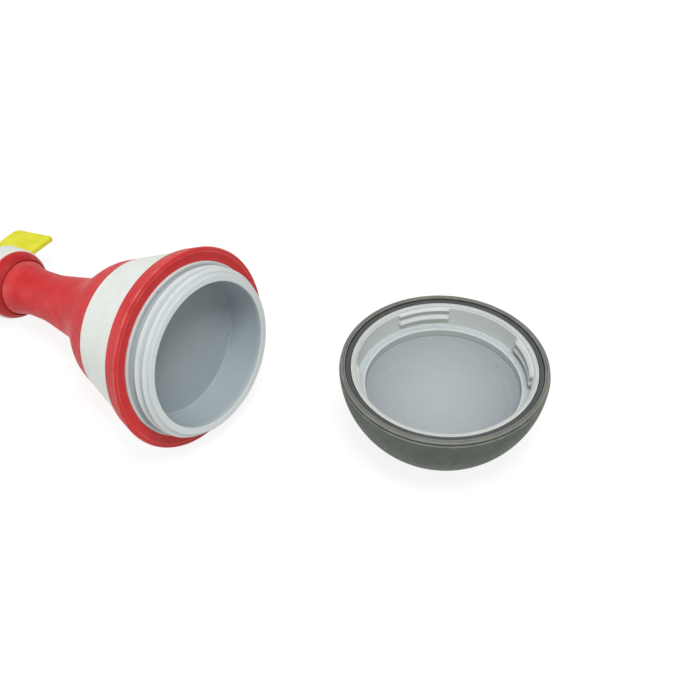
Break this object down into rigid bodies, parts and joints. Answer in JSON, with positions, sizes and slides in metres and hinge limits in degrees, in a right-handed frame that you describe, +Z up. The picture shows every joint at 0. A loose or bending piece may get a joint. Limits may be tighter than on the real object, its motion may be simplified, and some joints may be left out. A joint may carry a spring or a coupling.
{
  "type": "floating treat toy",
  "caption": "Buoy-shaped floating treat toy, opened: a flared rubber body with a threaded treat cup, slim neck, flag and rope hole lies beside its domed screw cap with a lined bowl.",
  "frame": {"origin": "centre of the flat foot of the cap, on the surface that both pieces stand on", "axes": "+Z up along the cap's axis, +X from the lying body towards the cap, +Y away from the viewer"},
  "size_m": [0.2921, 0.1661, 0.0873],
  "materials": {
    "red_rubber": "matte",
    "white_rubber": "matte",
    "yellow_rubber": "matte",
    "dark_rubber": "matte",
    "seal_rubber": "satin",
    "grey_plastic": "satin",
    "foam": "matte"
  },
  "bodies": {
    "toy": {"treat_cup": "grey_plastic", "base_ring": "red_rubber", "white_band": "white_rubber", "bell_skin": "red_rubber", "float_core": "foam", "mast_tube": "grey_plastic", "neck_collar": "red_rubber", "mast_ring": "white_rubber", "head_cap": "red_rubber", "flag": "yellow_rubber"},
    "seal": {"cap_seal": "seal_rubber"},
    "cap": {"cap_shell": "dark_rubber", "cap_rim": "dark_rubber", "cap_liner": "grey_plastic"}
  },
  "joints": [
    {"name": "cap_lift", "type": "slide", "parent": "toy", "child": "seal", "axis": [0, 0, 1], "range_m": [0, 0.09]},
    {"name": "cap_turn", "type": "hinge", "parent": "seal", "child": "cap", "pos_m": [0, 0, 0.04], "axis": [0, 0, 1], "continuous": true}
  ]
}
